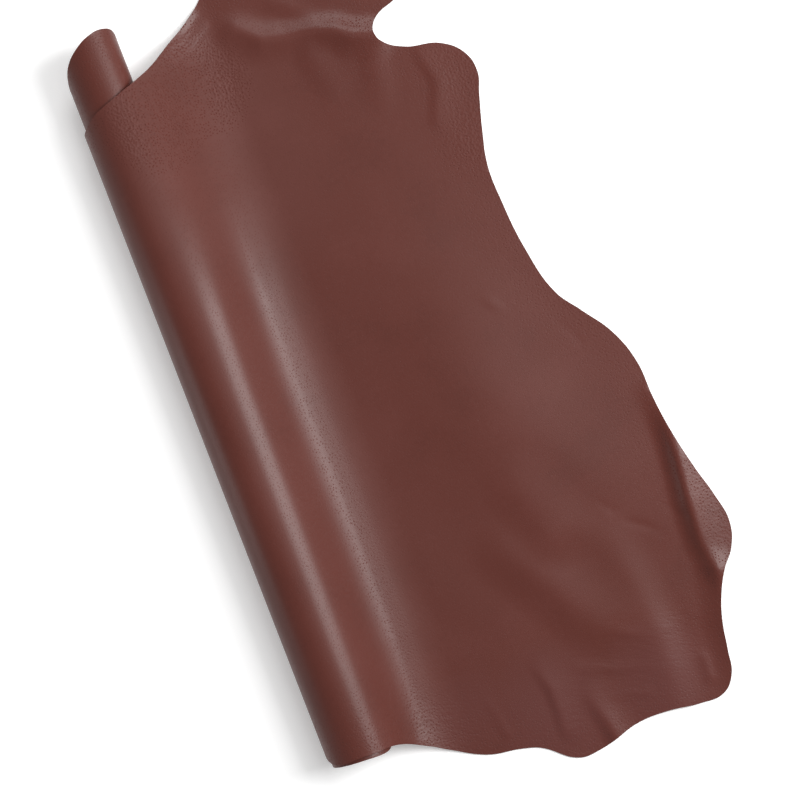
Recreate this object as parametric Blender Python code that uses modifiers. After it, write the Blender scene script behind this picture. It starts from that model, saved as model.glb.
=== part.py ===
"""A pigskin bend lying grain side up. Its left side is rolled under itself, the sheet comes off
the top of the roll and is let down in a soft S to the surface, where the rest lies almost flat.

The hide is one sheet. It is drawn flat, as it was cut, sliced into cells, and each point is then
carried to its place by the section across the hide and by the low ridges that it lies in.
X runs across the hide, Y along the roll towards the neck, and Z is up.
"""

import math

import bmesh
import bpy
import numpy as np

# Driving sizes, in metres
MM = 0.001
THICKNESS = 0.0012
ROLL_WIDTH = 0.071
ROLL_HEIGHT = 0.065
TURN_PITCH = 0.0032
DRAPE_SLACK = 0.021

# The roll: how far it is wound, and the angle each side of its lowest line that lies flat
ROLL_TURNS = 2.4
FLAT_SPOT = math.radians(11)

# Spacing of the slices that make the cells
FACETS_PER_TURN = 20
DRAPE_SLICE = 0.012
FLOOR_SLICE = 0.0145
FLOOR_ROW = 0.018
FLOOR_ROWS_PER_ROLL_ROW = 4

# Where folds need slices between those: across, beyond the first, and along, between the two
BELLY_FOLD_FROM = 0.415
NECK_FOLD_FROM, NECK_FOLD_TO = 0.37, 0.465

OUTLINE_STEPS = 3
CLOSEST_POINTS = 0.0006

# The let-down stretch at places along the roll, in millimetres
# columns: along, run from the roll's axis to the surface, pull at the crest, pull at the foot
DRAPE = (
    (-400, 122, 50, 92),
    (-320, 126, 51, 94),
    (-240, 133, 51, 97),
    (-60, 136, 55, 98),
    (80, 140, 58, 102),
    (200, 141, 64, 100),
    (330, 138, 60, 76),
    (500, 142, 58, 60),
)

# The cut edge of the hide laid flat, in millimetres. Across is counted along the leather from the
# top of the roll: positive towards the belly, negative into the roll.
# columns: across, along
NECK = (
    (156, 493),
    (171, 514),
    (196, 548),
    (236, 560),
    (327, 536),
    (398, 496),
    (413, 461),
    (390, 431),
    (353, 413),
    (330, 404),
    (321, 393),
    (320, 386),
    (324, 376),
    (346, 361),
)
BELLY = (
    (385, 350),
    (406, 330),
    (411, 306),
    (404, 283),
    (392, 242),
    (384, 206),
    (384, 165),
    (389, 107),
    (403, 49),
    (422, 21),
    (446, -15),
    (459, -55),
    (461, -97),
    (466, -142),
    (475, -185),
    (485, -222),
    (490, -255),
    (481, -283),
    (465, -302),
    (452, -327),
    (443, -353),
    (437, -385),
    (431, -413),
    (416, -429),
)
BUTT = (
    (387, -430),
    (354, -425),
    (318, -425),
    (266, -438),
    (243, -438),
    (206, -412),
    (188, -406),
    (149, -398),
    (113, -378),
    (92, -365),
    (56, -349),
    (5, -344),
    (-29, -343),
    (-54, -332),
    (-80, -325),
    (-108, -327),
    (-140, -339),
    (-170, -349),
    (-208, -348),
    (-257, -345),
    (-310, -341),
    (-370, -333),
    (-424, -313),
)
FAR_SIDE = (
    (-448, -280),
    (-445, -170),
    (-456, -40),
    (-448, 110),
    (-453, 250),
    (-441, 345),
    (-405, 390),
)
SHOULDER = (
    (-350, 404),
    (-300, 418),
    (-257, 441),
    (-236, 465),
    (-216, 480),
    (-200, 488),
    (-184, 491),
    (-161, 485),
    (-135, 452),
    (-107, 415),
    (-80, 395),
    (-54, 391),
    (-12, 407),
    (41, 426),
    (66, 436),
    (102, 456),
    (127, 470),
)

# Low ridges and swells of the sheet where it lies on the surface, in millimetres. Their places
# are measured from the roll's axis. The crests that run down the hide fall off to the roll and to
# the belly, and the first one, which crosses the neck, to the butt and to the neck's end.
# columns: rounding of the crest, reach to the roll, reach to the belly,
# crest as (across, along, height) points
RIDGES = (
    (6, 34, 28, ((160, 444, 3.5), (181, 425, 5.5), (206, 418, 5), (223, 416, 5), (240, 413, 5.5),
                 (260, 405, 6.5), (275, 394, 6.5), (299, 385, 6))),
    (3, 22, 60, ((436, -72, 0), (441, -107, 3), (443, -138, 8), (441, -167, 10), (435, -218, 10),
                 (432, -264, 7.5), (435, -288, 5.5), (437, -300, 4))),
    (3, 30, 30, ((437, -300, 5), (431, -330, 5.5), (424, -355, 5.5), (420, -385, 5),
                 (414, -413, 3))),
    (18, 70, 40, ((338, -235, 1.5), (343, -290, 2.6), (348, -340, 4), (345, -380, 4),
                  (340, -425, 3))),
    (60, 150, 130, ((250, 130, 3), (265, 60, 5), (262, -10, 6), (285, -80, 6), (310, -130, 4))),
    (20, 25, 25, ((226, 388, 1.2), (236, 350, 0.6))),
    (16, 24, 24, ((290, 362, 1.4), (281, 315, 0.5))),
    (4, 12, 34, ((338, 345, 1), (345, 312, 1.5), (330, 276, 1))),
    (4, 10, 34, ((214, -335, 0.8), (219, -357, 1.8), (219, -380, 1.8), (217, -402, 1.4))),
    (5, 16, 34, ((258, -385, 1.2), (264, -410, 3), (268, -436, 4))),
    (20, 45, 60, ((228, -200, 2.5), (262, -255, 4), (290, -305, 3))),
    (20, 40, 60, ((262, -140, 2), (282, -195, 3))),
)

# The sheet never lies quite flat: these waves of it, added up, are hardly higher than paper.
# columns: height, length of the wave across, length of the wave along
WAVES = ((0.07, 83, 131), (0.05, 59, 97), (0.04, 113, 71))

# Ridges and waves fade out over this stretch before the foot of the slope
LIFT_FADE = 0.04

HIDE_COLOUR = (0.135, 0.048, 0.037, 1.0)
HIDE_ROUGHNESS = 0.42


def roll_section():
    """The rolled stretch from its top inwards: leather length so far, x and z of the middle of
    the leather, at even small steps of the winding angle."""
    flat_share = math.cos(FLAT_SPOT)
    half_width = (ROLL_WIDTH + TURN_PITCH - THICKNESS) / 2
    half_height = (ROLL_HEIGHT - THICKNESS + TURN_PITCH / 2 * flat_share) / (1 + flat_share)
    steps_per_facet = 12  # even, so that facets end half a facet each side of the lowest line
    count = round(ROLL_TURNS * FACETS_PER_TURN) * steps_per_facet
    angle = np.arange(count + 1) * (math.tau / FACETS_PER_TURN / steps_per_facet)
    drawn_in = TURN_PITCH * angle / math.tau
    axis_height = THICKNESS / 2 + (half_height - TURN_PITCH / 2) * flat_share
    x = -(half_width - drawn_in) * np.sin(angle)
    z = np.maximum(axis_height + (half_height - drawn_in) * np.cos(angle), THICKNESS / 2)
    length = np.concatenate([[0.0], np.cumsum(np.hypot(np.diff(x), np.diff(z)))])
    facet_ends = np.arange(steps_per_facet // 2, count + 1, steps_per_facet)
    return length, x, z, length[facet_ends]


ROLL_LENGTH, ROLL_X, ROLL_Z, ROLL_SLICES = roll_section()
ROLL_TOP = ROLL_Z[0]


def drape_at(along):
    """Run, crest pull and foot pull of the let-down stretch at places along the roll."""
    table = np.array(DRAPE) * MM
    return (np.interp(along, table[:, 0], column) for column in table[:, 1:].T)


def drape_section(share, run, crest_pull, foot_pull):
    """x and z at shares of the leather's way from the top of the roll down to the surface.
    The stretch is a cubic curve, level at both ends, and the shares are of its length."""
    curve = np.linspace(0.0, 1.0, 49)
    back = 1 - curve
    near_crest = 3 * back**2 * curve
    near_foot = 3 * back * curve**2
    drop = ROLL_TOP - THICKNESS / 2
    x = np.outer(crest_pull, near_crest) + np.outer(run - foot_pull, near_foot)
    x += np.outer(run, curve**3)
    z = np.broadcast_to(THICKNESS / 2 + drop * (back**3 + near_crest), x.shape)
    steps = np.hypot(np.diff(x, axis=1), np.diff(z, axis=1))
    length = np.concatenate([np.zeros((len(run), 1)), np.cumsum(steps, axis=1)], axis=1)
    wanted = share * length[:, -1]
    rows = range(len(run))
    placed_x = [np.interp(wanted[i], length[i], x[i]) for i in rows]
    placed_z = [np.interp(wanted[i], length[i], z[i]) for i in rows]
    return np.array(placed_x), np.array(placed_z)


def ridge_lift(x, y):
    """How far the waves, ridges and swells raise the sheet at places on the surface."""
    lift = np.zeros_like(x)
    for height, length_across, length_along in WAVES:
        turn = math.tau * (x / length_across + y / length_along) / MM
        lift += height * MM * (1 + np.sin(turn)) / 2
    for rounding, roll_reach, belly_reach, crest in RIDGES:
        best = np.full_like(x, np.inf)
        side = np.zeros_like(x)
        height = np.zeros_like(x)
        points = np.array(crest) * MM
        for start, end in zip(points, points[1:]):
            run = (end - start)[:2]
            share = ((x - start[0]) * run[0] + (y - start[1]) * run[1]) / (run @ run)
            share = np.clip(share, 0, 1)
            off_x = x - start[0] - share * run[0]
            off_y = y - start[1] - share * run[1]
            distance = np.hypot(off_x, off_y)
            nearer = distance < best
            best = np.where(nearer, distance, best)
            towards_roll = off_x * run[1] - off_y * run[0]
            towards_roll /= np.hypot(*run) * np.maximum(distance, MM / 100)
            side = np.where(nearer, towards_roll, side)
            height = np.where(nearer, start[2] + share * (end[2] - start[2]), height)
        reach = (roll_reach + belly_reach + side * (roll_reach - belly_reach)) / 2 * MM
        soft = rounding * MM
        fall = (np.hypot(best, soft) - soft) / (np.hypot(reach, soft) - soft)
        lift += height * np.clip(1 - fall, 0, None) ** 2
    return lift


def place(across, along):
    """Carries flat points of the hide to where the leather lies."""
    run, crest_pull, foot_pull = drape_at(along)
    x = across - DRAPE_SLACK
    lift = ridge_lift(x, along) * np.clip((x - run) / LIFT_FADE + 1, 0, 1)
    z = THICKNESS / 2 + lift
    rolled = across <= 0
    x[rolled] = np.interp(-across[rolled], ROLL_LENGTH, ROLL_X)
    z[rolled] = np.interp(-across[rolled], ROLL_LENGTH, ROLL_Z)
    let_down = (across > 0) & (across < run + DRAPE_SLACK)
    share = across[let_down] / (run[let_down] + DRAPE_SLACK)
    placed = drape_section(share, run[let_down], crest_pull[let_down], foot_pull[let_down])
    x[let_down] = placed[0]
    z[let_down] = placed[1] + lift[let_down]
    return x, along, z


def outline_face():
    """The flat hide as one face, from a smooth closed curve through the edge points."""
    rows = NECK + BELLY + BUTT + FAR_SIDE + SHOULDER
    curve = bpy.data.curves.new("hide_outline", "CURVE")
    curve.dimensions = "2D"
    curve.fill_mode = "NONE"
    spline = curve.splines.new("BEZIER")
    spline.bezier_points.add(len(rows) - 1)
    for point, (across, along) in zip(spline.bezier_points, rows):
        point.co = (across * MM, along * MM, 0)
        point.handle_left_type = point.handle_right_type = "AUTO"
    spline.use_cyclic_u = True
    spline.resolution_u = OUTLINE_STEPS
    curve.resolution_u = OUTLINE_STEPS
    guide = bpy.data.objects.new("hide_outline", curve)
    bpy.context.scene.collection.objects.link(guide)
    graph = bpy.context.evaluated_depsgraph_get()
    edge = bpy.data.meshes.new_from_object(guide.evaluated_get(graph))
    bpy.data.objects.remove(guide)
    flat = bmesh.new()
    flat.from_mesh(edge)
    bpy.data.meshes.remove(edge)
    bmesh.ops.contextual_create(flat, geom=flat.edges[:])
    bmesh.ops.recalc_face_normals(flat, faces=flat.faces[:])
    if flat.faces[0].normal.z < 0:
        bmesh.ops.reverse_faces(flat, faces=flat.faces[:])
    return flat


def slice_flat(flat, line, direction, beyond=-math.inf):
    """Cuts the flat hide along one line, only where it lies beyond a place across."""
    faces = [face for face in flat.faces if face.calc_center_median().x > beyond]
    parts = {part for face in faces for part in (*face.verts, *face.edges)}
    point = tuple(line * share for share in direction)
    bmesh.ops.bisect_plane(
        flat, geom=faces + list(parts), plane_co=point, plane_no=direction
    )


def sliced_hide():
    """The flat hide in cells: narrow across the roll, long down it, and square on the surface."""
    flat = outline_face()
    lowest = min(vertex.co.y for vertex in flat.verts)
    highest = max(vertex.co.y for vertex in flat.verts)
    widest = max(vertex.co.x for vertex in flat.verts)
    drape_end = min(run for _, run, _, _ in DRAPE) * MM + DRAPE_SLACK
    drape_slices = np.arange(DRAPE_SLICE / 2, drape_end, DRAPE_SLICE)
    floor_slices = np.arange(drape_end, widest, FLOOR_SLICE)
    halfway = floor_slices + FLOOR_SLICE / 2
    fold_slices = halfway[halfway > BELLY_FOLD_FROM]
    for across in (*-ROLL_SLICES, *drape_slices, *floor_slices, *fold_slices):
        slice_flat(flat, across, (1, 0, 0))
    rows = np.arange(lowest + FLOOR_ROW / 2, highest, FLOOR_ROW)
    for row, along in enumerate(rows):
        whole_row = row % FLOOR_ROWS_PER_ROLL_ROW == 0
        slice_flat(flat, along, (0, 1, 0), beyond=-math.inf if whole_row else drape_end)
    halfway = rows + FLOOR_ROW / 2
    for along in halfway[(halfway > NECK_FOLD_FROM) & (halfway < NECK_FOLD_TO)]:
        slice_flat(flat, along, (0, 1, 0), beyond=drape_end)
    bmesh.ops.remove_doubles(flat, verts=flat.verts[:], dist=CLOSEST_POINTS)
    return flat


def leather():
    material = bpy.data.materials.new("pigskin")
    material.use_nodes = True
    shader = material.node_tree.nodes["Principled BSDF"]
    shader.inputs["Base Color"].default_value = HIDE_COLOUR
    shader.inputs["Roughness"].default_value = HIDE_ROUGHNESS
    shader.inputs["Metallic"].default_value = 0.0
    return material


def build():
    for leftover in list(bpy.data.objects):
        bpy.data.objects.remove(leftover)
    flat = sliced_hide()
    points = np.array([vertex.co for vertex in flat.verts])
    x, y, z = place(points[:, 0], points[:, 1])
    x -= (x.max() + x.min()) / 2
    y = y - (y.max() + y.min()) / 2
    for vertex, spot in zip(flat.verts, zip(x, y, z)):
        vertex.co = spot
    mesh = bpy.data.meshes.new("hide")
    flat.to_mesh(mesh)
    flat.free()
    mesh.shade_smooth()
    mesh.materials.append(leather())
    hide = bpy.data.objects.new("hide", mesh)
    bend = bpy.data.collections.new("pigskin_bend")
    bpy.context.scene.collection.children.link(bend)
    bend.objects.link(hide)
    solid = hide.modifiers.new("thickness", "SOLIDIFY")
    solid.thickness = THICKNESS
    solid.offset = 0
    solid.use_even_offset = True


build()
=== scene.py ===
"""The pigskin bend as it lies in the photograph, seen from straight above under soft light from
the right. One sheet of leather stands for the hide: a close mesh on the same section, outline and
ridges, with finer creases, a grain side, a suede flesh side and a cut edge.
"""

import math

import bmesh
import bpy
import numpy as np
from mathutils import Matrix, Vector


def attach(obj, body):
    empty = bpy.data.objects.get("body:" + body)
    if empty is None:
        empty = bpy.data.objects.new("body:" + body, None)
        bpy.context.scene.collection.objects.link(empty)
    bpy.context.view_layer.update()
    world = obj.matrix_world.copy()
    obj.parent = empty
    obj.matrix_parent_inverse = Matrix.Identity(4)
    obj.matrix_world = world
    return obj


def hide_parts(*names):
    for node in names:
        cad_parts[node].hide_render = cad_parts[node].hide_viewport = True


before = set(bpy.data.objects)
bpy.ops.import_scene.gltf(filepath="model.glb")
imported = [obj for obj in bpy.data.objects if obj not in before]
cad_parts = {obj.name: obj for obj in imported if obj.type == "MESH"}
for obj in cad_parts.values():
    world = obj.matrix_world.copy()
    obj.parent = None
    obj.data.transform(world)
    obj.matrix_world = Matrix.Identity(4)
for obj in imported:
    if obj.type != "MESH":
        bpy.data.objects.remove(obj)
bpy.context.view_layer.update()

# Driving sizes, in metres, the same as the solid's
MM = 0.001
THICKNESS = 0.0012
ROLL_WIDTH = 0.071
ROLL_HEIGHT = 0.065
TURN_PITCH = 0.0032
DRAPE_SLACK = 0.021
ROLL_TURNS = 2.4
FLAT_SPOT = math.radians(11)
FACETS_PER_TURN = 20
STEPS_PER_FACET = 12

# Spacing of the mesh's slices: close where the sheet shows, wider inside the roll
CELL = 0.0035
INNER_CELL = 0.0075
SHOWN_FROM = -0.075
OUTLINE_STEPS = 9
DRAPE_STEPS = 64
CLOSEST_POINTS = 0.0002
LEAST_DISTANCE = MM / 100

# The let-down stretch at places along the roll, in millimetres
# columns: along, run from the roll's axis to the surface, pull at the crest, pull at the foot
DRAPE = (
    (-400, 122, 50, 92),
    (-320, 126, 51, 94),
    (-240, 133, 51, 97),
    (-60, 136, 55, 98),
    (80, 140, 58, 102),
    (200, 141, 64, 100),
    (330, 138, 60, 76),
    (500, 142, 58, 60),
)

# The cut edge of the hide laid flat, in millimetres
# columns: across, along
NECK = (
    (156, 493),
    (171, 514),
    (196, 548),
    (236, 560),
    (327, 536),
    (398, 496),
    (413, 461),
    (390, 431),
    (353, 413),
    (330, 404),
    (321, 393),
    (320, 386),
    (324, 376),
    (346, 361),
)
BELLY = (
    (385, 350),
    (406, 330),
    (411, 306),
    (404, 283),
    (392, 242),
    (384, 206),
    (384, 165),
    (389, 107),
    (403, 49),
    (422, 21),
    (446, -15),
    (459, -55),
    (461, -97),
    (466, -142),
    (475, -185),
    (485, -222),
    (490, -255),
    (481, -283),
    (465, -302),
    (452, -327),
    (443, -353),
    (437, -385),
    (431, -413),
    (416, -429),
)
BUTT = (
    (387, -430),
    (354, -425),
    (318, -425),
    (266, -438),
    (243, -438),
    (206, -412),
    (188, -406),
    (149, -398),
    (113, -378),
    (92, -365),
    (56, -349),
    (5, -344),
    (-29, -343),
    (-54, -332),
    (-80, -325),
    (-108, -327),
    (-140, -339),
    (-170, -349),
    (-208, -348),
    (-257, -345),
    (-310, -341),
    (-370, -333),
    (-424, -313),
)
FAR_SIDE = (
    (-448, -280),
    (-445, -170),
    (-456, -40),
    (-448, 110),
    (-453, 250),
    (-441, 345),
    (-405, 390),
)
SHOULDER = (
    (-350, 404),
    (-300, 418),
    (-257, 441),
    (-236, 465),
    (-216, 480),
    (-200, 488),
    (-184, 491),
    (-161, 485),
    (-135, 452),
    (-107, 415),
    (-80, 395),
    (-54, 391),
    (-12, 407),
    (41, 426),
    (66, 436),
    (102, 456),
    (127, 470),
)

# Low ridges and swells of the sheet on the surface, in millimetres from the roll's axis
# columns: rounding of the crest, reach to the roll, reach to the belly,
# crest as (across, along, height) points
RIDGES = (
    (6, 34, 28, ((160, 444, 3.5), (181, 425, 5.5), (206, 418, 5), (223, 416, 5), (240, 413, 5.5),
                 (260, 405, 6.5), (275, 394, 6.5), (299, 385, 6))),
    (3, 22, 60, ((436, -72, 0), (441, -107, 3), (443, -138, 8), (441, -167, 10), (435, -218, 10),
                 (432, -264, 7.5), (435, -288, 5.5), (437, -300, 4))),
    (3, 30, 30, ((437, -300, 5), (431, -330, 5.5), (424, -355, 5.5), (420, -385, 5),
                 (414, -413, 3))),
    (18, 70, 40, ((338, -235, 1.5), (343, -290, 2.6), (348, -340, 4), (345, -380, 4),
                  (340, -425, 3))),
    (60, 150, 130, ((250, 130, 3), (265, 60, 5), (262, -10, 6), (285, -80, 6), (310, -130, 4))),
    (20, 25, 25, ((226, 388, 1.2), (236, 350, 0.6))),
    (16, 24, 24, ((290, 362, 1.4), (281, 315, 0.5))),
    (4, 12, 34, ((338, 345, 1), (345, 312, 1.5), (330, 276, 1))),
    (4, 10, 34, ((214, -335, 0.8), (219, -357, 1.8), (219, -380, 1.8), (217, -402, 1.4))),
    (5, 16, 34, ((258, -385, 1.2), (264, -410, 3), (268, -436, 4))),
    (20, 45, 60, ((228, -200, 2.5), (262, -255, 4), (290, -305, 3))),
    (20, 40, 60, ((262, -140, 2), (282, -195, 3))),
)

# The trough down the slope, small creases and curled spots, in the same columns
FINE = (
    (2, 8, 14, ((388, -407, 1.2), (390, -384, 1.0))),
    (10, 14, 14, ((205, 458, 0.6), (222, 447, 1.0), (236, 437, 0.5))),
    (3, 38, 22, ((79, 300, 0), (79, 200, -1.2), (77, 80, -1.1), (77, -60, -1.2),
                 (76, -150, -1.4), (75, -240, -1.4), (72, -300, -1.2), (68, -340, -0.8))),
    (3, 8, 8, ((362, -213, -0.2), (380, -225, -0.45), (397, -241, -0.1))),
    (3, 8, 8, ((408, -211, -0.1), (425, -232, -0.3))),
    (3, 8, 8, ((341, -180, -0.1), (354, -198, -0.3))),
    (3, 8, 8, ((374, 18, -0.1), (388, -11, -0.25))),
    (4, 10, 12, ((303, 74, 0.1), (312, 63, 0.5), (321, 50, 0.1))),
    (2, 7, 9, ((101, 467, 0.9), (121, 480, 1.4))),
    (2, 6, 8, ((106, 449, 0.7), (128, 461, 1.1))),
    (2, 6, 8, ((123, 492, 1.2), (141, 500, 0.8))),
    (3, 10, 12, ((300, -318, 0.2), (322, -330, 0.6), (338, -338, 0.2))),
    (3, 9, 12, ((254, -345, 0.2), (290, -360, 0.6), (330, -372, 0.2))),
    (3, 9, 10, ((280, -388, 0.2), (318, -398, 0.5))),
    (3, 9, 10, ((150, -345, 0.2), (156, -384, 0.5))),
)

# The sheet never lies quite flat: these waves of it are added up, in millimetres
# columns: height, length of the wave across, length of the wave along
WAVES = ((0.07, 83, 131), (0.05, 59, 97), (0.04, 113, 71))

# Ridges and waves fade out over this stretch before the foot of the slope
LIFT_FADE = 0.04


def roll_section():
    """The rolled stretch from its top inwards: leather length so far, x and z of its middle."""
    flat_share = math.cos(FLAT_SPOT)
    half_width = (ROLL_WIDTH + TURN_PITCH - THICKNESS) / 2
    half_height = (ROLL_HEIGHT - THICKNESS + TURN_PITCH / 2 * flat_share) / (1 + flat_share)
    count = round(ROLL_TURNS * FACETS_PER_TURN) * STEPS_PER_FACET
    angle = np.arange(count + 1) * (math.tau / FACETS_PER_TURN / STEPS_PER_FACET)
    drawn_in = TURN_PITCH * angle / math.tau
    axis_height = THICKNESS / 2 + (half_height - TURN_PITCH / 2) * flat_share
    x = -(half_width - drawn_in) * np.sin(angle)
    z = np.maximum(axis_height + (half_height - drawn_in) * np.cos(angle), THICKNESS / 2)
    length = np.concatenate([[0.0], np.cumsum(np.hypot(np.diff(x), np.diff(z)))])
    return length, x, z


ROLL_LENGTH, ROLL_X, ROLL_Z = roll_section()
ROLL_TOP = ROLL_Z[0]


def drape_at(along):
    """Run, crest pull and foot pull of the let-down stretch at places along the roll."""
    table = np.array(DRAPE) * MM
    return (np.interp(along, table[:, 0], column) for column in table[:, 1:].T)


def drape_section(share, run, crest_pull, foot_pull):
    """x and z at shares of the leather's way from the top of the roll down to the surface."""
    curve = np.linspace(0.0, 1.0, DRAPE_STEPS + 1)
    back = 1 - curve
    near_crest = 3 * back**2 * curve
    near_foot = 3 * back * curve**2
    drop = ROLL_TOP - THICKNESS / 2
    x = np.outer(crest_pull, near_crest) + np.outer(run - foot_pull, near_foot)
    x += np.outer(run, curve**3)
    z = np.broadcast_to(THICKNESS / 2 + drop * (back**3 + near_crest), x.shape)
    steps = np.hypot(np.diff(x, axis=1), np.diff(z, axis=1))
    length = np.concatenate([np.zeros((len(run), 1)), np.cumsum(steps, axis=1)], axis=1)
    wanted = share * length[:, -1]
    rows = range(len(run))
    placed_x = [np.interp(wanted[i], length[i], x[i]) for i in rows]
    placed_z = [np.interp(wanted[i], length[i], z[i]) for i in rows]
    return np.array(placed_x), np.array(placed_z)


def crest_lift(x, y, ridges):
    """How far ridges raise the sheet, each falling off to both sides of its crest line."""
    lift = np.zeros_like(x)
    for rounding, roll_reach, belly_reach, crest in ridges:
        best = np.full_like(x, np.inf)
        side = np.zeros_like(x)
        height = np.zeros_like(x)
        points = np.array(crest) * MM
        for start, end in zip(points, points[1:]):
            run = (end - start)[:2]
            share = ((x - start[0]) * run[0] + (y - start[1]) * run[1]) / (run @ run)
            share = np.clip(share, 0, 1)
            off_x = x - start[0] - share * run[0]
            off_y = y - start[1] - share * run[1]
            distance = np.hypot(off_x, off_y)
            nearer = distance < best
            best = np.where(nearer, distance, best)
            towards_roll = off_x * run[1] - off_y * run[0]
            towards_roll /= np.hypot(*run) * np.maximum(distance, LEAST_DISTANCE)
            side = np.where(nearer, towards_roll, side)
            height = np.where(nearer, start[2] + share * (end[2] - start[2]), height)
        reach = (roll_reach + belly_reach + side * (roll_reach - belly_reach)) / 2 * MM
        soft = rounding * MM
        fall = (np.hypot(best, soft) - soft) / (np.hypot(reach, soft) - soft)
        lift += height * np.clip(1 - fall, 0, None) ** 2
    return lift


def wave_lift(x, y):
    """How far the waves raise the sheet."""
    lift = np.zeros_like(x)
    for height, length_across, length_along in WAVES:
        turn = math.tau * (x / length_across + y / length_along) / MM
        lift += height * MM * (1 + np.sin(turn)) / 2
    return lift


def place(across, along):
    """Carries flat points of the hide to where the leather lies, x from the roll's axis."""
    run, crest_pull, foot_pull = drape_at(along)
    x = across - DRAPE_SLACK
    lift = crest_lift(x, along, RIDGES) + wave_lift(x, along)
    lift *= np.clip((x - run) / LIFT_FADE + 1, 0, 1)
    lift += crest_lift(x, along, FINE)
    z = THICKNESS / 2 + lift
    rolled = across <= 0
    x[rolled] = np.interp(-across[rolled], ROLL_LENGTH, ROLL_X)
    z[rolled] = np.interp(-across[rolled], ROLL_LENGTH, ROLL_Z)
    let_down = (across > 0) & (across < run + DRAPE_SLACK)
    share = across[let_down] / (run[let_down] + DRAPE_SLACK)
    placed = drape_section(share, run[let_down], crest_pull[let_down], foot_pull[let_down])
    x[let_down] = placed[0]
    z[let_down] = placed[1] + lift[let_down]
    return x, along, z


def outline_face():
    """The flat hide as one face, from a smooth closed curve through the edge points."""
    rows = NECK + BELLY + BUTT + FAR_SIDE + SHOULDER
    curve = bpy.data.curves.new("hide_outline", "CURVE")
    curve.dimensions = "2D"
    curve.fill_mode = "NONE"
    spline = curve.splines.new("BEZIER")
    spline.bezier_points.add(len(rows) - 1)
    for point, (across, along) in zip(spline.bezier_points, rows):
        point.co = (across * MM, along * MM, 0)
        point.handle_left_type = point.handle_right_type = "AUTO"
    spline.use_cyclic_u = True
    spline.resolution_u = OUTLINE_STEPS
    curve.resolution_u = OUTLINE_STEPS
    guide = bpy.data.objects.new("hide_outline", curve)
    bpy.context.scene.collection.objects.link(guide)
    graph = bpy.context.evaluated_depsgraph_get()
    edge = bpy.data.meshes.new_from_object(guide.evaluated_get(graph))
    bpy.data.objects.remove(guide)
    flat = bmesh.new()
    flat.from_mesh(edge)
    bpy.data.meshes.remove(edge)
    bmesh.ops.contextual_create(flat, geom=flat.edges[:])
    bmesh.ops.recalc_face_normals(flat, faces=flat.faces[:])
    if flat.faces[0].normal.z < 0:
        bmesh.ops.reverse_faces(flat, faces=flat.faces[:])
    return flat


def sliced_hide():
    """The flat hide in small cells, and the points of its cut edge."""
    flat = outline_face()
    edge = np.array([vertex.co for vertex in flat.verts])
    low, high = edge.min(axis=0), edge.max(axis=0)
    inner = np.arange(low[0] + INNER_CELL / 2, SHOWN_FROM, INNER_CELL)
    shown = np.arange(SHOWN_FROM, high[0], CELL)
    for across in (*inner, *shown):
        cut(flat, across, (1, 0, 0))
    for row, along in enumerate(np.arange(low[1] + CELL / 2, high[1], CELL)):
        cut(flat, along, (0, 1, 0), beyond=SHOWN_FROM if row % 2 else -math.inf)
    bmesh.ops.remove_doubles(flat, verts=flat.verts[:], dist=CLOSEST_POINTS)
    return flat, edge


def cut(flat, line, direction, beyond=-math.inf):
    """Cuts the flat hide along one line, only where it lies beyond a place across."""
    faces = [face for face in flat.faces if face.calc_center_median().x > beyond]
    parts = {part for face in faces for part in (*face.verts, *face.edges)}
    point = tuple(line * share for share in direction)
    geometry = faces + list(parts)
    bmesh.ops.bisect_plane(flat, geom=geometry, plane_co=point, plane_no=direction)


class Nodes:
    """A material's node graph, each step written as one call."""

    def __init__(self, name):
        self.material = bpy.data.materials.new(name)
        self.material.use_nodes = True
        self.tree = self.material.node_tree
        self.shader = self.tree.nodes["Principled BSDF"]

    def add(self, kind, inputs=(), output=0, **settings):
        node = self.tree.nodes.new("ShaderNode" + kind)
        for key, value in settings.items():
            setattr(node, key, value)
        for socket, value in dict(inputs).items():
            self.put(node, socket, value)
        return node.outputs[output]

    def put(self, node, socket, value):
        if isinstance(value, bpy.types.NodeSocket):
            self.tree.links.new(value, node.inputs[socket])
        else:
            node.inputs[socket].default_value = value

    def math(self, operation, *values):
        return self.add("Math", dict(enumerate(values)), operation=operation)

    def vector(self, operation, *values, output=0):
        return self.add("VectorMath", dict(enumerate(values)), output, operation=operation)

    def ramp(self, value, low, high, to_low=0.0, to_high=1.0, kind="SMOOTHSTEP"):
        limits = {0: value, 1: low, 2: high, 3: to_low, 4: to_high}
        return self.add("MapRange", limits, interpolation_type=kind)

    def noise(self, place, size, detail=2.0, output=0):
        """Noise of about this size in metres, from 0 to 1 round 0.5."""
        sockets = {"Vector": place, "Scale": 1 / size, "Detail": detail}
        return self.add("TexNoise", sockets, output)

    def mix(self, share, first, second):
        sockets = {0: share, 6: first, 7: second}
        return self.add("Mix", sockets, 2, data_type="RGBA")

    def bump(self, height, distance, normal=None):
        sockets = {"Height": height, "Distance": distance, "Strength": 1.0}
        if normal is not None:
            sockets["Normal"] = normal
        return self.add("Bump", sockets)


# Colours of the grain side: the dye's shifts, a paler, cooler painted sheen and the bottom of a
# pore
DARK = (0.088, 0.0213, 0.0150, 1)
MID = (0.095, 0.0234, 0.0167, 1)
LIGHT = (0.101, 0.0260, 0.0192, 1)
# Painted sheen: a paler, cooler colour that stands in for the gloss on the butt
PAINTED_SHEEN_TINT = (0.103, 0.0305, 0.0260, 1)
PORE = (0.040, 0.010, 0.008, 1)

# The pores: size of a group of three in metres, then shares of that
PORE_GROUP = 0.0078
PORE_OFF_CENTRE = 0.27
PORE_CORE = 0.05
PORE_RIM = 0.13
PORE_GROUP_SCATTER = 0.7

# How strong a pore is on the smoothest grain and on grain this pebbled, and what it changes
PORE_LEAST = 0.5
PORE_MOST = 2.0
PORE_MOST_AT = 0.45
PORE_TONE = 0.07
PORE_ROUGHNESS = 0.22

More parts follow.
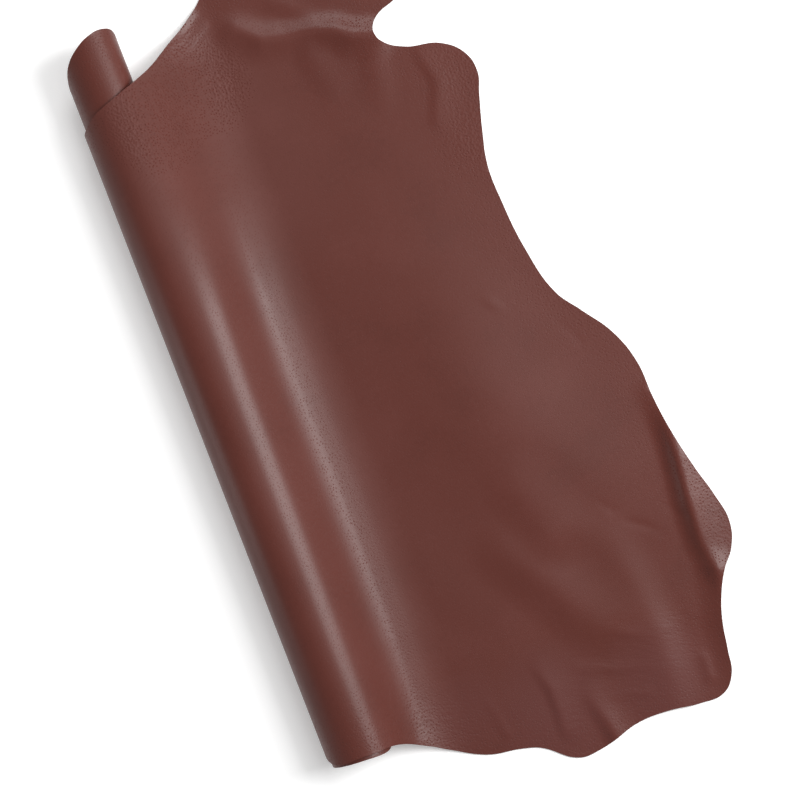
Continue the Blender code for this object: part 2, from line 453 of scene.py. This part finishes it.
# Gloss and relief of the grain side, sizes and depths in metres
SMOOTH_GLOSS = 0.36
COARSE_GLOSS = 0.66
GLAZE = 0.27
PEBBLE = 0.0034
FINE_GRAIN = 0.0016
WRINKLE_DEPTH = 0.0009
PEBBLE_DEPTH = 0.00024
FINE_DEPTH = 0.000006
PORE_DEPTH = 0.000055

# Sizes of the dye's broad and small shifts, and of the drift that bends the pores' rows
BROAD_SHIFT = 0.11
SMALL_SHIFT = 0.006
DRIFT_SIZE = 0.022
DRIFT = 0.004

# columns: mark, turn in degrees, size, share of that across their run, share of the depth
WRINKLES = (
    ("shoulder_wrinkles", 24, 0.0060, 0.13, 1.0),
    ("butt_wrinkles", -21, 0.0042, 0.30, 0.22),
)

# Colours of the flesh side and of the cut edge
FLESH_DARK = (0.17, 0.085, 0.060, 1)
FLESH_PALE = (0.25, 0.135, 0.098, 1)
FLESH_NAP = (0.11, 0.05, 0.035, 1)
EDGE_DARK = (0.030, 0.010, 0.008, 1)
EDGE_PALE = (0.085, 0.034, 0.026, 1)
NAP_DEPTH = 0.0003
FIBRE_DEPTH = 0.0002


def grain_material():
    """Glazed pigskin: pores in threes, pebbled grain, soft shifts of the dye and patches of
    painted sheen.
    """
    n = Nodes("pigskin_grain")
    flat = n.add("UVMap", uv_map="flat")
    drift = n.vector("SUBTRACT", n.noise(flat, DRIFT_SIZE, 1.0, 1), (0.5, 0.5, 0.5))
    drift = n.vector("MULTIPLY", drift, (DRIFT, DRIFT, 0.0))
    drifted = n.vector("ADD", flat, drift)
    pore = pores(n, drifted)
    roughly = n.add("Attribute", attribute_name="pebble", output=2)
    strength = n.ramp(roughly, 0.0, PORE_MOST_AT, PORE_LEAST, PORE_MOST)
    pore = n.math("MULTIPLY", pore, strength)
    pebble = n.add(
        "TexVoronoi",
        {"Vector": drifted, "Scale": 1 / PEBBLE, "Randomness": 0.9, "Smoothness": 0.35},
        feature="SMOOTH_F1",
        voronoi_dimensions="2D",
    )
    fine = n.noise(flat, FINE_GRAIN, 3.0)
    broad = n.noise(flat, BROAD_SHIFT, 3.0)
    small = n.noise(flat, SMALL_SHIFT, 3.0)
    tone = n.math("ADD", n.math("MULTIPLY", broad, 0.75), n.math("MULTIPLY", small, 0.25))
    colour = n.mix(n.ramp(tone, 0.36, 0.5), DARK, MID)
    colour = n.mix(n.ramp(tone, 0.5, 0.66), colour, LIGHT)
    # Painted sheen: the butt's patches are mixed towards a paler, cooler colour in place of gloss
    painted_sheen = n.add("Attribute", attribute_name="painted_sheen", output=2)
    colour = n.mix(painted_sheen, colour, PAINTED_SHEEN_TINT)
    colour = n.mix(n.math("MULTIPLY", pore, PORE_TONE), colour, PORE)
    n.put(n.shader, "Base Color", colour)
    coarse = n.add("Attribute", attribute_name="coarse", output=2)
    rough = n.ramp(coarse, 0.0, 1.0, SMOOTH_GLOSS, COARSE_GLOSS, "LINEAR")
    rough = n.math("ADD", rough, n.math("MULTIPLY", pore, PORE_ROUGHNESS))
    n.put(n.shader, "Roughness", rough)
    n.put(n.shader, "Specular IOR Level", GLAZE)
    wrinkle = 0.0
    for mark, turn, size, stretch, depth in WRINKLES:
        amount = n.add("Attribute", attribute_name=mark, output=2)
        amount = n.math("MULTIPLY", amount, depth)
        sockets = {"Vector": flat, "Angle": -math.radians(turn)}
        turned = n.add("VectorRotate", sockets, rotation_type="Z_AXIS")
        lines = n.noise(n.vector("MULTIPLY", turned, (stretch, 1.0, 1.0)), size, 1.5)
        wrinkle = n.math("ADD", wrinkle, n.math("MULTIPLY", lines, amount))
    normal = n.bump(wrinkle, WRINKLE_DEPTH)
    normal = n.bump(n.math("MULTIPLY", pebble, roughly), PEBBLE_DEPTH, normal)
    normal = n.bump(fine, FINE_DEPTH, normal)
    normal = n.bump(n.math("SUBTRACT", 1.0, pore), PORE_DEPTH, normal)
    n.put(n.shader, "Normal", normal)
    return n.material


def pores(n, drifted):
    """1 in a pore, 0 between them. Each cell holds three, turned its own way."""
    grown = n.vector("SCALE", drifted)
    grown.node.inputs["Scale"].default_value = 1 / PORE_GROUP
    cell = n.tree.nodes.new("ShaderNodeTexVoronoi")
    cell.voronoi_dimensions = "2D"
    n.put(cell, "Vector", grown)
    n.put(cell, "Scale", 1.0)
    n.put(cell, "Randomness", PORE_GROUP_SCATTER)
    own = n.vector("SUBTRACT", grown, cell.outputs["Position"])
    chance = n.add("SeparateColor", {0: cell.outputs["Color"]})
    sockets = {"Vector": own, "Angle": n.math("MULTIPLY", chance, math.tau)}
    own = n.add("VectorRotate", sockets, rotation_type="Z_AXIS")
    nearest = None
    for turn in range(3):
        angle = math.tau * turn / 3
        spot = (PORE_OFF_CENTRE * math.cos(angle), PORE_OFF_CENTRE * math.sin(angle), 0)
        away = n.vector("DISTANCE", own, spot, output=1)
        nearest = away if nearest is None else n.math("MINIMUM", nearest, away)
    return n.ramp(nearest, PORE_CORE, PORE_RIM, 1.0, 0.0)


def flesh_material():
    """The suede underside."""
    n = Nodes("pigskin_flesh")
    flat = n.add("UVMap", uv_map="flat")
    nap = n.noise(flat, 0.0012, 4.0)
    cloud = n.noise(flat, 0.03, 3.0)
    colour = n.mix(n.ramp(cloud, 0.35, 0.65), FLESH_DARK, FLESH_PALE)
    n.put(n.shader, "Base Color", n.mix(n.ramp(nap, 0.4, 0.7), colour, FLESH_NAP))
    n.put(n.shader, "Roughness", 0.92)
    n.put(n.shader, "Normal", n.bump(nap, NAP_DEPTH))
    return n.material


def edge_material():
    """The cut edge: dark where the dye soaked in, with fibres."""
    n = Nodes("pigskin_edge")
    at = n.add("TexCoord", output=3)
    fibre = n.noise(at, 0.0009, 3.0)
    n.put(n.shader, "Base Color", n.mix(n.ramp(fibre, 0.35, 0.65), EDGE_DARK, EDGE_PALE))
    n.put(n.shader, "Roughness", n.ramp(fibre, 0.3, 0.7, 0.65, 0.85))
    n.put(n.shader, "Normal", n.bump(fibre, FIBRE_DEPTH))
    return n.material


def edge_distance(points, edge):
    """How far flat points lie from the cut edge."""
    nearest = np.full(len(points), np.inf)
    for spot in edge:
        away = np.hypot(points[:, 0] - spot[0], points[:, 1] - spot[1])
        nearest = np.minimum(nearest, away)
    return nearest


def patches(points, rows):
    """Each patch's amount in its middle, fading to 0 at its rim."""
    share = np.zeros(len(points))
    for across, along, radius, amount in rows:
        away = np.hypot(points[:, 0] - across * MM, points[:, 1] - along * MM)
        share = np.maximum(share, amount * np.clip(1 - (away / (radius * MM)) ** 2, 0, 1))
    return share


# Places of the grain, flesh and cut edge materials in the sheet's list of them
FLESH_PLACE = 1
EDGE_PLACE = 2


def sharpen_cut_edge(thick):
    """Keeps the cut edge from bending the light on the grain side next to it."""
    side = np.empty(len(thick.polygons), dtype=np.int32)
    starts = np.empty(len(thick.polygons), dtype=np.int32)
    counts = np.empty(len(thick.polygons), dtype=np.int32)
    edges = np.empty(len(thick.loops), dtype=np.int32)
    thick.polygons.foreach_get("material_index", side)
    thick.polygons.foreach_get("loop_start", starts)
    thick.polygons.foreach_get("loop_total", counts)
    thick.loops.foreach_get("edge_index", edges)
    owner = np.repeat(side[np.argsort(starts)], counts[np.argsort(starts)])
    sharp = np.zeros(len(thick.edges), dtype=bool)
    sharp[edges[owner == EDGE_PLACE]] = True
    thick.edges.foreach_set("use_edge_sharp", sharp)


# The shoulder's grain is coarser: from where to where along the hide, from where to where
# across it, and over how far it fades
COARSE_FROM = 0.16
COARSE_TO = 0.47
COARSE_ABOVE = 0.03
COARSE_BELOW = 0.24
COARSE_FADE = 0.13
COARSE_END_FADE = 0.05

# The grain is pebbled a little everywhere and more near the cut edge: how much, and how far in
PEBBLED = 0.04
EDGE_PEBBLED = 0.4
EDGE_PEBBLED_REACH = 0.09
EDGE_PEBBLED_FALL = 1.5

# Where the grain stands in small wrinkles or pebbles, and where a paler, cooler colour paints in
# the sheen on the butt
# columns: across, along and radius in millimetres, amount
SHOULDER_WRINKLES = ((120, 415, 75, 1), (60, 370, 60, 1), (25, 330, 45, 1))
BUTT_WRINKLES = ((330, -370, 85, 1), (250, -400, 60, 1), (400, -350, 50, 1), (140, -350, 45, 1))
# Painted sheen: patches on the butt where the colour is made paler and cooler in place of gloss
PAINTED_SHEEN_PATCHES = ((241, -382, 85, 0.8), (355, -390, 75, 0.8), (150, -350, 55, 0.5))
PEBBLES = ((395, 310, 60, 0.7), (380, 240, 50, 0.7), (45, 375, 62, 2.8), (120, 400, 62, 2.6))

# The pores stand out more along the foot of the slope, on the butt's half of it: the middle of
# that stripe across, its half width and amount, where it ends along and over how far it fades
FOOT_MIDDLE = 0.104
FOOT_HALF_WIDTH = 0.026
FOOT_PEBBLED = 0.12
FOOT_TO = 0.20
FOOT_FADE = 0.24


def grain_marks(points, edge):
    """How strongly each kind of grain, and the painted sheen, shows at flat points of the hide.
    """
    near_edge = np.clip(1 - edge_distance(points, edge) / EDGE_PEBBLED_REACH, 0, 1)
    shoulder = np.clip((points[:, 1] - COARSE_FROM) / COARSE_FADE, 0, 1)
    shoulder *= np.clip((COARSE_BELOW - points[:, 0]) / COARSE_FADE, 0, 1)
    shoulder *= np.clip((points[:, 0] - COARSE_ABOVE) / (COARSE_FADE / 2) + 1, 0, 1)
    shoulder *= np.clip((COARSE_TO - points[:, 1]) / COARSE_END_FADE, 0, 1)
    from_middle = (points[:, 0] - FOOT_MIDDLE) / FOOT_HALF_WIDTH
    pebbled = PEBBLED + EDGE_PEBBLED * near_edge**EDGE_PEBBLED_FALL
    foot = FOOT_PEBBLED * np.clip(1 - from_middle**2, 0, 1)
    pebbled += foot * np.clip((FOOT_TO - points[:, 1]) / FOOT_FADE, 0, 1)
    return {
        "pebble": pebbled + patches(points, PEBBLES),
        "coarse": shoulder,
        "shoulder_wrinkles": patches(points, SHOULDER_WRINKLES),
        "butt_wrinkles": patches(points, BUTT_WRINKLES),
        # painted sheen on the butt, carried to the material as a mark
        "painted_sheen": patches(points, PAINTED_SHEEN_PATCHES),
    }


def build_hide():
    """The sheet as one piece with its thickness, its box centred over the origin."""
    flat, edge = sliced_hide()
    mesh = bpy.data.meshes.new("pigskin_sheet")
    flat.to_mesh(mesh)
    flat.free()
    points = np.empty(len(mesh.vertices) * 3)
    mesh.vertices.foreach_get("co", points)
    points = points.reshape(-1, 3)
    corner = np.empty(len(mesh.loops), dtype=np.int32)
    mesh.loops.foreach_get("vertex_index", corner)
    mesh.uv_layers.new(name="flat").data.foreach_set("uv", points[corner, :2].ravel())
    for name, amount in grain_marks(points, edge).items():
        mesh.attributes.new(name, "FLOAT", "POINT").data.foreach_set("value", amount)
    x, y, z = place(points[:, 0].copy(), points[:, 1].copy())
    x -= (x.max() + x.min()) / 2
    y = y - (y.max() + y.min()) / 2
    mesh.vertices.foreach_set("co", np.stack([x, y, z], axis=1).ravel())
    mesh.shade_smooth()
    for material in (grain_material(), flesh_material(), edge_material()):
        mesh.materials.append(material)
    hide = bpy.data.objects.new("pigskin_sheet", mesh)
    bpy.context.scene.collection.objects.link(hide)
    solid = hide.modifiers.new("thickness", "SOLIDIFY")
    solid.thickness = THICKNESS
    solid.offset = 0
    solid.material_offset = FLESH_PLACE
    solid.material_offset_rim = EDGE_PLACE
    graph = bpy.context.evaluated_depsgraph_get()
    thick = bpy.data.meshes.new_from_object(hide.evaluated_get(graph))
    sharpen_cut_edge(thick)
    hide.modifiers.clear()
    hide.data = thick
    return hide


# The floor: half its width, how far under the sheet it lies, its two whites, and a low brightness
# of its own that stands for the photograph's overexposed background
FLOOR_HALF = 4.0
FLOOR_DROP = 0.0003
FLOOR_DARKER = (0.90, 0.90, 0.90, 1)
FLOOR_PALER = (0.93, 0.93, 0.93, 1)
FLOOR_BRIGHTNESS = 0.24


def floor_material():
    """Plain near-white, with no shine."""
    n = Nodes("pale_floor")
    at = n.add("TexCoord", output=3)
    tone = n.noise(at, 0.4, 2.0)
    n.put(n.shader, "Base Color", n.mix(tone, FLOOR_DARKER, FLOOR_PALER))
    n.put(n.shader, "Roughness", 0.9)
    n.put(n.shader, "Specular IOR Level", 0.0)
    n.put(n.shader, "Emission Color", (1, 1, 1, 1))
    n.put(n.shader, "Emission Strength", FLOOR_BRIGHTNESS)
    return n.material


def build_floor():
    """The level surface that the hide lies on."""
    mesh = bpy.data.meshes.new("floor")
    half = FLOOR_HALF
    corners = [(-half, -half, 0), (half, -half, 0), (half, half, 0), (-half, half, 0)]
    mesh.from_pydata(corners, [], [(0, 1, 2, 3)])
    mesh.materials.append(floor_material())
    floor = bpy.data.objects.new("floor", mesh)
    floor.location.z = -FLOOR_DROP
    bpy.context.scene.collection.objects.link(floor)
    return floor


# The camera. The photograph is taken from straight above, turned against the roll.
CAMERA_HEIGHT = 3.0
VIEW_CENTRE = (-0.0371, -0.0599)
VIEW_TURN = math.radians(-21.24)
VIEW_WIDTH = 0.88
SENSOR = 36.0

# The soft lights, and the strength of the even surround
# columns: name, lean from the vertical and turn from +X in degrees, distance, size, power
LIGHTS = (
    ("softbox", 48, 0, 2.9, (1.25, 2.0), 94),
    ("upper_soft", 20, 0, 2.9, (1.0, 2.0), 8),
    ("top_fill", 44, 70, 2.9, (1.1, 0.8), 24),
    ("left_fill", 84, 180, 2.6, (0.5, 2.2), 13),
)
SURROUND = 0.34


def build_camera():
    """The camera at the photograph's place and turn."""
    data = bpy.data.cameras.new("camera")
    data.sensor_width = SENSOR
    data.lens = SENSOR * CAMERA_HEIGHT / VIEW_WIDTH
    camera = bpy.data.objects.new("camera", data)
    camera.location = (*VIEW_CENTRE, CAMERA_HEIGHT)
    camera.rotation_euler = (0, 0, VIEW_TURN)
    bpy.context.scene.collection.objects.link(camera)
    bpy.context.scene.camera = camera


def area_light(name, lean, turn, distance, size, power):
    """A soft light that points at the middle of the floor."""
    data = bpy.data.lights.new(name, "AREA")
    data.shape = "RECTANGLE"
    data.size, data.size_y = size
    data.energy = power
    light = bpy.data.objects.new(name, data)
    out = math.sin(lean)
    away = Vector((out * math.cos(turn), out * math.sin(turn), math.cos(lean)))
    light.location = away * distance
    light.rotation_mode = "QUATERNION"
    light.rotation_quaternion = away.to_track_quat("Z", "Y")
    bpy.context.scene.collection.objects.link(light)


def build_light():
    """The even surround and the soft lights."""
    world = bpy.data.worlds.new("studio")
    world.use_nodes = True
    background = world.node_tree.nodes["Background"]
    background.inputs["Color"].default_value = (1, 1, 1, 1)
    background.inputs["Strength"].default_value = SURROUND
    bpy.context.scene.world = world
    bpy.context.scene.view_settings.view_transform = "Standard"
    for name, lean, turn, distance, size, power in LIGHTS:
        area_light(name, math.radians(lean), math.radians(turn), distance, size, power)


floor = build_floor()
hide = build_hide()
build_camera()
build_light()
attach(hide, "root")
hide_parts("hide")
